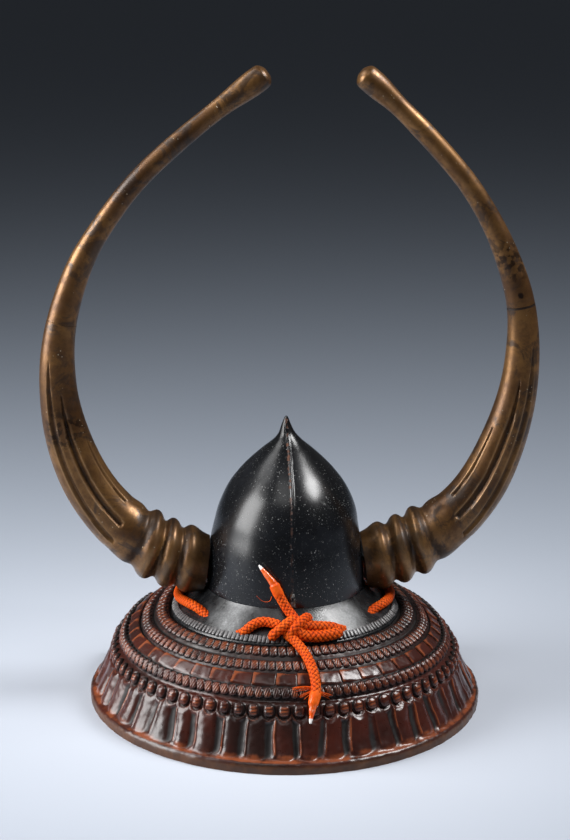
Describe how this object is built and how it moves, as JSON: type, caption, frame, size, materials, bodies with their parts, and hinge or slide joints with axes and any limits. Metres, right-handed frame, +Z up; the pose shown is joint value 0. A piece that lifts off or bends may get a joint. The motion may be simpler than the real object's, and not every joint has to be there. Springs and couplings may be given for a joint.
{
  "type": "kabuto samurai helmet with water buffalo horns",
  "caption": "Pointed lacquered samurai helmet with a flared base flange, a spreading neck guard, tall curved gilt horns and a tied orange cord.",
  "frame": {"origin": "middle of the overall outline, on the surface that the neck guard's rim stands on, cord left out", "axes": "+Z up, +Y towards the wearer's face, +X to the right when seen from behind"},
  "size_m": [0.5795, 0.414, 0.7386],
  "materials": {
    "black_lacquer": "gloss",
    "worn_black_lacquer": "worn satin",
    "red_brown_lacquer": "worn gloss",
    "aged_gilt": "gilt lacquer over wood, aged, satin",
    "dark_iron": "rusted",
    "orange_silk": "braided"
  },
  "bodies": {
    "root": {"bowl": "black_lacquer", "base_flange": "worn_black_lacquer", "neck_guard": "red_brown_lacquer", "horn_base_left": "aged_gilt", "horn_base_right": "aged_gilt", "horn_tip_left": "aged_gilt", "horn_tip_right": "aged_gilt", "horn_prong_left": "dark_iron", "horn_prong_right": "dark_iron", "ring_post": "dark_iron", "cord_loop": "orange_silk", "cord_knot": "orange_silk", "cord_tail_upper": "orange_silk", "cord_tail_lower": "orange_silk"}
  },
  "joints": []
}
